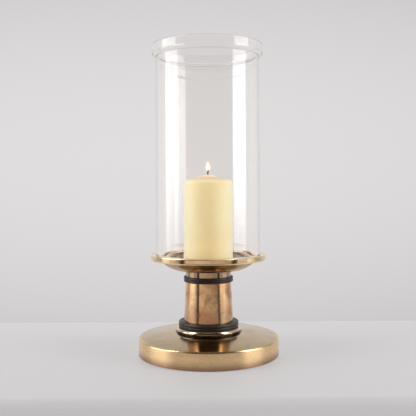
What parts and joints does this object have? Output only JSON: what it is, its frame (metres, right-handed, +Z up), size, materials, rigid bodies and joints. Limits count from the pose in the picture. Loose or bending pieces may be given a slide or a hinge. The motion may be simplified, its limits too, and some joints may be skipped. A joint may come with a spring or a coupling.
{
  "type": "hurricane candle lantern",
  "caption": "Table lantern: a weighted round brass base and short stem with dark bands carry a dish, a pillar candle and a tall clear glass chimney.",
  "frame": {"origin": "centre of the felt foot on the surface that the lantern stands on", "axes": "+Z up along the axis of the stem and chimney; +X to the right and -Y to the front, all round the axis alike"},
  "size_m": [0.169, 0.169, 0.3735],
  "materials": {
    "antique_brass": "antiqued, softly brushed and lacquered",
    "polished_brass": "polished antique brass, with brown clouding",
    "blackened_bronze": "dark bronze patina, waxed",
    "cast_iron": "as cast, painted black",
    "felt": "dark green felt",
    "plated_steel": "zinc plated",
    "clear_glass": "clear, fire polished",
    "ivory_wax": "smooth ivory wax, slightly translucent",
    "cotton_wick": "braided cotton, burnt at the top"
  },
  "bodies": {
    "stand": {"base_shell": "antique_brass", "base_weight": "cast_iron", "felt_pad": "felt", "foot_ring": "polished_brass", "lower_band": "blackened_bronze", "sleeve": "polished_brass", "upper_band": "blackened_bronze", "collar": "polished_brass", "dish": "polished_brass", "tie_rod": "plated_steel", "base_washer": "plated_steel", "lock_washer": "plated_steel", "base_nut": "plated_steel", "dish_washer": "plated_steel", "dish_nut": "plated_steel"},
    "chimney": {"chimney": "clear_glass"},
    "candle": {"candle": "ivory_wax", "wick": "cotton_wick"}
  },
  "joints": [
    {"name": "chimney_lift", "type": "slide", "parent": "stand", "child": "chimney", "axis": [0, 0, 1], "range_m": [0, 0.12]},
    {"name": "candle_lift", "type": "slide", "parent": "stand", "child": "candle", "axis": [0, 0, 1], "range_m": [0, 0.28]}
  ]
}
